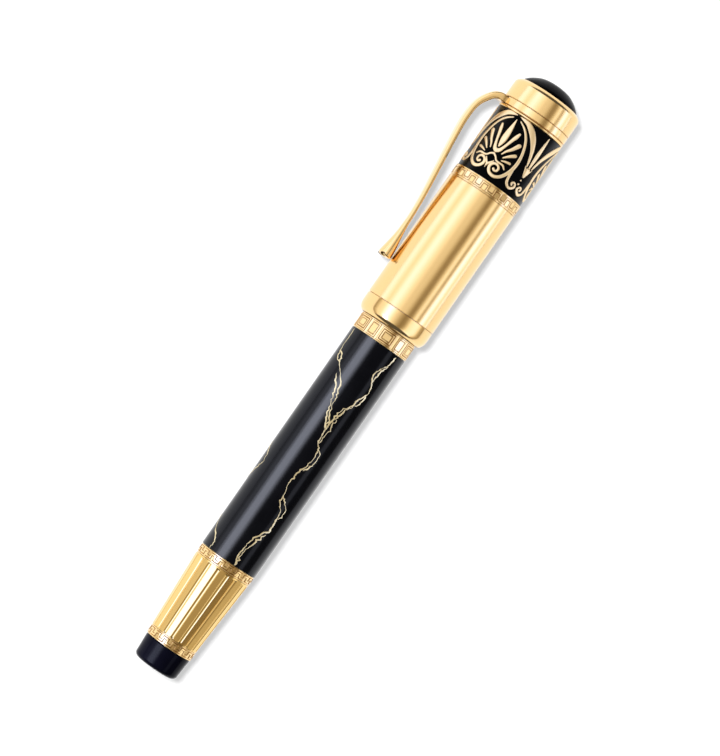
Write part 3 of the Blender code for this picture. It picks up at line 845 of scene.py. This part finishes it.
# lines of (degrees right of the palmette's middle, height over the sleeve's foot, width)
LEAF = [(0, 7.1, .24), (0, 7.9, .66), (0, 8.9, .92), (0, 10.0, .90), (0, 11.2, .70),
        (0, 12.4, .40), (0, 13.5, .10)]
FLANK = [(16.7, 11.3, .34), (15.0, 10.5, .52), (12.5, 9.5, .46), (9.2, 8.0, .38),
         (6.2, 6.9, .46), (3.6, 6.3, .60), (0, 6.05, .66)]
DROPS = [[(26, 9.3, .62), (19.8, 7.85, .45), (14.4, 6.9, .30), (11.1, 6.0, .16)],
         [(29.4, 7.15, .52), (23, 6.45, .42), (16, 5.5, .18)],
         [(29, 5.25, .40), (23, 5.1, .32), (16.5, 4.8, .16)]]
BROW = [(27, 3.6, .16), (23, 4.1, .30), (19.8, 4.2, .30), (13.3, 4.2, .28), (8.9, 4.35, .26),
        (5.2, 4.9, .26), (0, 5.3, .30)]
FORK = [(6.8, 3.9, .14), (3.4, 3.3, .26), (0.4, 2.75, .30), (0, 2.0, .10)]
ARCH = [(7.4, 13.6, .16), (16.5, 12.9, .28), (24.5, 11.9, .34), (31.6, 10.4, .36),
        (36.4, 8.6, .40), (38.6, 6.9, .46), (38.3, 5.2, .50), (35, 3.5, .50), (28.6, 2.05, .48),
        (19.8, 1.3, .50), (11, 1.5, .48), (6.2, 2.3, .46), (6.2, 3.05, .42), (10, 3.6, .38),
        (15.5, 3.65, .36), (19.3, 3.2, .34), (19, 2.55, .32), (15.5, 2.35, .34),
        (13.3, 2.55, .40)]
SPEAR_SIDE = [(3.4, 14.4, .10), (10, 14.3, .42), (20, 14.0, .76), (30, 13.1, .92),
              (38, 12.0, .86), (45, 10.6, .66), (49.6, 9.2, .46), (52.6, 7.9, .32),
              (54.3, 6.9, .14)]
TENDRIL = [(38.6, 5.7, .20), (39, 4.0, .34), (39.9, 2.6, .38), (42.6, 1.65, .40),
           (48.4, 1.2, .42), (53.9, 1.5, .40), (56.6, 2.05, .34), (55, 2.55, .28),
           (51.6, 2.7, .26), (49.1, 2.4, .28), (50.3, 2.05, .30)]
SPEAR = [(0, 14.1, .10), (0, 12.4, .40), (0, 10.2, .62), (0, 8.5, .50), (0, 6.9, .22)]
CALYX = [(-8.4, 6.95), (-4.5, 6.4), (-2.0, 6.9), (0, 6.6), (2.0, 6.9), (4.5, 6.4),
         (8.4, 6.95), (5.8, 6.0), (3.7, 5.25), (1.5, 4.55), (-1.5, 4.55), (-3.7, 5.25),
         (-5.8, 6.0)]
BEADS = [(3.9, .20), (3.0, .24)]        # (height, radius)
TALL, BROAD = 0.965, 1.33               # how the drawn heights and widths are scaled


def ornament():
    """Three palmettes under arches, with a lotus spear between each two."""
    foot, _, r = span("engraved_sleeve")
    foot += 0.05
    relief = Relief(r - ORNAMENT_LIFT, ORNAMENT_LIFT)

    def draw(line, centre, side=1, per_span=6):
        relief.stroke([(centre + side * d, foot + h * TALL, w * BROAD + 0.06)
                       for d, h, w in spline(line, per_span)])

    for k in range(3):
        palmette, lotus = 60.0 + 120 * k, 120.0 + 120 * k
        draw(LEAF, palmette)
        for side in (-1, 1):
            for line in (FLANK, *DROPS, BROW, FORK, SPEAR_SIDE, TENDRIL):
                draw(line, palmette, side)
            draw(ARCH, palmette, side, 8)
        draw(SPEAR, lotus)
        relief.patch([(lotus + d, foot + h * TALL) for d, h in CALYX], 0.09)
        for h, size in BEADS:
            dot = [(lotus + math.degrees(size * math.cos(t) / r),
                    foot + h * TALL + size * math.sin(t))
                   for t in (2 * math.pi * i / 14 for i in range(14))]
            relief.patch(dot, 0.08)
    relief.make("sleeve_ornament", "engraved_sleeve", "relief")


ornament()


# ==== veins of the barrel ==========================================================================

VEINS = [
    [(18, 77.5), (18, 75), (21, 72.3), (31, 72.1), (36, 71.2), (41, 70.3), (52, 69),
     (61, 67.9), (67, 67.1), (69, 65.9), (74, 64.5), (75, 62.8), (80, 61.1), (88, 59.4),
     (90, 58), (93, 56), (95, 54.8)],
    [(21, 72.3), (24, 71.7), (30, 70.7), (40, 70.4)],
    [(48, 68.3), (56, 66.9), (63, 65.9), (67, 64.2), (74, 62.3), (79, 60), (89, 58)],
    [(126, 77.4), (124, 75.5), (115, 74.4), (108, 73), (108, 71.7), (114, 70.6), (119, 69.6),
     (120, 68.2)],
    [(123, 75), (116, 73.6), (114, 72), (114, 70.7)],
    [(120, 68.2), (113, 66.9), (108, 65.4), (106, 64.4), (98, 63.4), (93, 62), (92, 60.6),
     (92, 59.1), (92, 57.2), (93, 55.5), (95, 54.8)],
    [(120, 68.2), (120, 66.5), (112, 64.8), (106, 63.9), (100, 62.8), (96, 61.4), (95, 60.8)],
    [(96, 59.8), (98, 58.3), (97, 56.6), (96, 55)],
    [(95, 54.8), (102, 53.9), (108, 53.5), (112, 52.9), (111, 50.9), (106, 49.8), (101, 48.8)],
    [(101, 54), (104, 52.9), (104, 51.2), (101, 49.7), (95, 48.7), (94, 47.3), (93, 45.6),
     (95, 43.9), (97, 42.6)],
    [(97, 42.6), (108, 41.6), (118, 40.5), (119, 39.3), (115, 38.1)],
    [(97, 42.6), (98, 41.3), (103, 40.5), (110, 39.6), (112, 38.1), (114, 36.8), (115, 35),
     (109, 34.5)],
    [(113, 38.5), (114, 36.8), (115, 35.1), (106, 34.4), (99, 32.8), (94, 31.1), (92, 29.2),
     (93, 27.2), (96, 25.9)],
    [(113, 34.2), (109, 33.4), (105, 32.4), (101, 31), (97, 29.7), (96, 28), (97, 26)],
    [(2, 49.4), (18, 47.3), (21, 45.8), (12, 44.1), (2, 42.7)],
    [(2, 31.7), (15, 30), (31, 28.4), (39, 27.2), (37, 25.9)],
    # the side turned away
    [(2, 49.4), (-14, 50.6), (-30, 52.4), (-38, 55), (-34, 58), (-42, 61), (-58, 63),
     (-66, 66), (-60, 69), (-70, 72.5), (-84, 74), (-88, 77.4)],
    [(2, 42.7), (-12, 41.5), (-26, 40.2), (-34, 37.5), (-30, 35), (-16, 33.2), (2, 31.7)],
    [(-38, 55), (-52, 54), (-64, 51.5), (-70, 48), (-64, 44), (-74, 40.5), (-88, 38.5),
     (-96, 35), (-92, 31), (-100, 28), (-104, 25.9)],
    [(-66, 66), (-82, 65), (-98, 62.4), (-106, 59), (-122, 57.2), (-134, 54)],
    [(178, 60), (190, 57.5), (202, 56), (210, 52.6), (204, 49), (212, 45.5), (226, 43.2),
     (232, 39), (224, 35.5), (230, 31.4), (244, 29), (248, 25.9)],
    [(210, 52.6), (224, 51.5), (240, 52.6), (256, 50.8), (278, 54)],
    [(202, 77.4), (206, 74), (218, 71.6), (222, 68), (214, 65), (198, 62.6), (178, 60)],
    [(222, 68), (238, 66.5), (248, 63.8), (264, 62)],
]
VEIN_WIDTH = 0.23


def veins():
    """Thin gold cracks: listed routes, broken up by small seeded steps and changes of width."""
    rng = random.Random(7)
    low, high, r = span("barrel_shell")
    relief = Relief(r - VEIN_LIFT, VEIN_LIFT)
    per_deg = PER_DEG * r
    for route in VEINS:
        line = []
        for (d0, s0), (d1, s1) in zip(route, route[1:]):
            steps = max(2, round(math.hypot((d1 - d0) * per_deg, s1 - s0) / 0.42))
            for k in range(steps):
                t = k / steps
                line.append((d0 + (d1 - d0) * t, s0 + (s1 - s0) * t))
        line.append(route[-1])
        rough, swell = [], rng.uniform(0, 6.28)
        for i, (d, s) in enumerate(line):
            wander = 0.0 if i in (0, len(line) - 1) else 1.0
            width = VEIN_WIDTH * (1 + 0.45 * math.sin(swell + i * 0.37) + rng.uniform(-0.3, 0.3))
            taper = min(1.0, 0.45 + 0.25 * min(i, len(line) - 1 - i))
            rough.append((d + wander * rng.gauss(0, 0.11) / per_deg,
                          min(max(s + wander * rng.gauss(0, 0.07), low + 0.1), high - 0.1),
                          max(width, 0.10) * taper))
        relief.stroke(rough)
    ring = [(96 + 3.6 * math.cos(t), 60.3 + 0.42 * math.sin(t), 0.15)
            for t in (2 * math.pi * i / 18 for i in range(19))]
    relief.stroke(ring, closed=True)
    relief.make("barrel_veins", "barrel_shell", "vein")


veins()


# ==== carried-over CAD nodes =======================================================================

PLAIN = {
    "brass": ("tail_plug", "cap_liner", "crown_nut", "cap_end_plug"),
    "steel": ("crown_stud", "clip_pivot_pin", "clip_leaf_spring", "cap_clutch_ring"),
    "plastic": ("inner_seal_cup", "refill_end_plug", "refill_feed_holder"),
    "fibre": ("refill_ink_core",),
    "carbide": ("writing_ball",),
}
for mat, names in PLAIN.items():
    for node_name in names:
        node = frame["nodes"][node_name]
        node.data.materials.clear()
        node.data.materials.append(M[mat])
        (TAIL_SET if node_name == "tail_plug" else GOLD_SET).objects.link(node)


# ==== floor, world, lights, camera =================================================================

AXIS_POINT = Vector((0, AXIS_Y * MM, AXIS_Z * MM))
VIEW = Vector((0, -math.cos(math.radians(VIEW_DEG)), math.sin(math.radians(VIEW_DEG))))
ACROSS = Vector((0, math.sin(math.radians(VIEW_DEG)), math.cos(math.radians(VIEW_DEG))))
CROWNWARD = Vector((-1, 0, 0))
TILT = math.radians(34.8)       # how far the pen leans to the right in the picture
IMAGE_RIGHT = CROWNWARD * math.sin(TILT) + ACROSS * math.cos(TILT)
IMAGE_UP = CROWNWARD * math.cos(TILT) - ACROSS * math.sin(TILT)


def floor():
    """A pale plain floor under the pen."""
    mat, tree, shader = nodes_of("pale_floor")
    speck = noise(tree, 40.0, 3.0)
    tree.links.new(ramp(tree, speck, [(0.3, 0.895), (0.7, 0.905)]), shader.inputs["Base Color"])
    shader.inputs["Roughness"].default_value = 0.7
    shader.inputs["Specular IOR Level"].default_value = 0.1
    half = 3.0
    mesh = bpy.data.meshes.new("floor")
    mesh.from_pydata([(-half, -half, 0), (half, -half, 0), (half, half, 0), (-half, half, 0)],
                     [], [(0, 1, 2, 3)])
    obj = bpy.data.objects.new("floor", mesh)
    bpy.context.scene.collection.objects.link(obj)
    mesh.materials.append(mat)
    FLOOR_SET.objects.link(obj)


def surroundings(level):
    """A white world: full strength as the camera sees it, `level` for everything else."""
    world_ = bpy.data.worlds.new("studio")
    world_.use_nodes = True
    tree = world_.node_tree
    background = tree.nodes["Background"]
    background.inputs["Color"].default_value = (1, 1, 1, 1)
    path = tree.nodes.new("ShaderNodeLightPath")
    mix = tree.nodes.new("ShaderNodeMix")
    mix.inputs["A"].default_value = level
    mix.inputs["B"].default_value = 1.0
    tree.links.new(path.outputs["Is Camera Ray"], mix.inputs["Factor"])
    tree.links.new(mix.outputs["Result"], background.inputs["Strength"])
    bpy.context.scene.world = world_


def soft_box(name, direction, target, width, length, radiance, receivers, distance=0.5,
             colour=(1, 1, 1)):
    """A rectangular light facing `target`, of a given radiance, lighting only `receivers`.

    Its length lies along the pen. Cycles gives power / (4 * area) as the radiance.
    """
    data = bpy.data.lights.new(name, "AREA")
    data.shape = "RECTANGLE"
    data.size, data.size_y = width, length
    data.energy = 4 * radiance * width * length
    data.color = colour
    obj = bpy.data.objects.new(name, data)
    bpy.context.scene.collection.objects.link(obj)
    z = direction.normalized()
    y = Vector((1, 0, 0))
    x = y.cross(z).normalized()
    y = z.cross(x)
    obj.matrix_world = Matrix.Translation(target + z * distance) @ Matrix(
        (x, y, z)).transposed().to_4x4()
    obj.visible_camera = False
    obj.light_linking.receiver_collection = receivers
    return obj


def strip(name, start, end, radiance, receivers, colour=(1, 1, 1), reach=0.45, distance=0.5):
    """A strip light seen by the pen between two directions, in degrees to the camera's right."""
    mid, half = math.radians((start + end) / 2), math.radians((end - start) / 2)
    direction = VIEW * math.cos(mid) + ACROSS * math.sin(mid)
    soft_box(name, direction, AXIS_POINT, 2 * distance * math.tan(half), 2 * reach, radiance,
             receivers, distance, colour)


def gold_light(level):
    """Light that gold shows as pale where it is bright and as a deep yellow where it is dim."""
    if level < 1.0:
        return level ** 0.70, level ** 0.80, level
    return level ** 0.2, level ** 0.41, level


def sweep(name, keys, receivers, step=3.0):
    """A row of narrow strips whose brightness follows (degrees, level) keys."""
    for k in range(round((keys[-1][0] - keys[0][0]) / step)):
        start = keys[0][0] + k * step
        mid = start + step / 2
        for (d0, v0), (d1, v1) in zip(keys, keys[1:]):
            if d0 <= mid < d1:
                light = [max(c - BASE_LEVEL, 0.0)
                         for c in gold_light(v0 + (v1 - v0) * (mid - d0) / (d1 - d0))]
                if max(light) > 0.01:
                    strip(f"{name}_{k}", start, start + step, max(light), receivers,
                          [c / max(light) for c in light])


BASE_LEVEL = 0.10       # the world's brightness, as everything but the camera sees it
# rows of lights: degrees to the camera's right as the pen sees them, and the gold's brightness
CAP_KEYS = ((-82, 1.2), (-73, 1.8), (-66, 1.55), (-59, 1.15), (-52, 0.85), (-45, 1.15),
            (-38, 1.65), (-33, 1.9), (-27, 1.7), (-20, 1.35), (-14, 1.05), (-8, 0.88), (0, 0.66),
            (9, 0.66), (15, 0.55), (20, 0.34), (26, 0.16), (34, 0.14), (40, 0.4), (46, 0.9),
            (51, 1.3), (55, 0.8), (58, 0.2), (63, 0.25), (67, 1.2), (73, 2.7), (81, 1.6),
            (88, 0.8), (92, 1.2), (98, 2.4))
LIP_KEYS = ((-82, 0.25), (-75, 0.35), (-66, 0.8), (-50, 1.0), (-42, 1.8), (-34, 2.8), (-26, 2.6),
            (-18, 1.5), (-10, 0.9), (0, 0.6), (10, 0.3), (20, 0.15), (30, 0.2), (38, 0.55),
            (46, 1.1), (60, 1.4), (70, 1.4), (78, 0.9), (86, 0.3), (98, 0.2))
TAIL_KEYS = ((-82, 0.5), (-68, 0.6), (-56, 1.2), (-48, 3.4), (-28, 3.4), (-18, 1.0), (-8, 0.35),
             (14, 0.22), (30, 0.12), (52, 0.11), (60, 0.8), (70, 1.0), (75, 0.4), (98, 0.35))
# single strips for the black pieces: start, end, radiance
DARK_STRIPS = ((-80, -70, 0.6), (-70, -54, 1.15), (-54, -46, 4.0), (-46, -22, 8.0),
               (-22, -15, 4.5), (-15, -9, 1.2), (48, 64, 0.8))
SPOT_LEFT, SPOT_TAILWARD = math.radians(33), math.radians(27)   # the lip's spot, off the view
KEY_OFF_VIEW = math.radians(8.5)        # the floor's key light, off the view; sets the shadow

floor()
surroundings(BASE_LEVEL)
sweep("cap_strip", CAP_KEYS, GOLD_SET)
sweep("lip_strip", LIP_KEYS, LIP_SET, 4.0)
sweep("tail_strip", TAIL_KEYS, TAIL_SET)
spot_from = VIEW * math.cos(SPOT_LEFT) - ACROSS * math.sin(SPOT_LEFT)
soft_box("lip_spot", spot_from + Vector((math.tan(SPOT_TAILWARD), 0, 0)), AXIS_POINT, 0.12, 0.26,
         3.5, LIP_SET)
for k, (start, end, radiance) in enumerate(DARK_STRIPS):
    strip(f"dark_strip_{k}", start, end, radiance, DARK_SET)

shade_from = VIEW + math.tan(KEY_OFF_VIEW) * (IMAGE_UP - IMAGE_RIGHT).normalized()
soft_box("floor_key", shade_from, AXIS_POINT, 0.135, 0.135, 95.0, FLOOR_SET, 1.0)
floor_fill = soft_box("floor_fill", Vector((0, 0, 1)), AXIS_POINT, 0.8, 0.8, 2.7, FLOOR_SET, 1.0)
floor_fill.data.use_shadow = False

AIM_STATION, CAMERA_STATION = 70.0, 61.0
CAMERA_DISTANCE = 0.67  # metres
camera_data = bpy.data.cameras.new("camera")
camera_data.sensor_width = 36.0
camera_data.lens = 161.1
camera_data.clip_start, camera_data.clip_end = 0.05, 20.0
camera = bpy.data.objects.new("camera", camera_data)
bpy.context.scene.collection.objects.link(camera)
aim = world(0, 0, AIM_STATION) + (0.783 * IMAGE_RIGHT - 0.310 * IMAGE_UP) * MM
camera.location = world(0, 0, CAMERA_STATION) + VIEW * CAMERA_DISTANCE
back = (camera.location - aim).normalized()
side = IMAGE_UP.cross(back).normalized()
camera.rotation_euler = Matrix((side, back.cross(side), back)).transposed().to_euler()
bpy.context.scene.camera = camera
bpy.context.scene.view_settings.view_transform = "Standard"
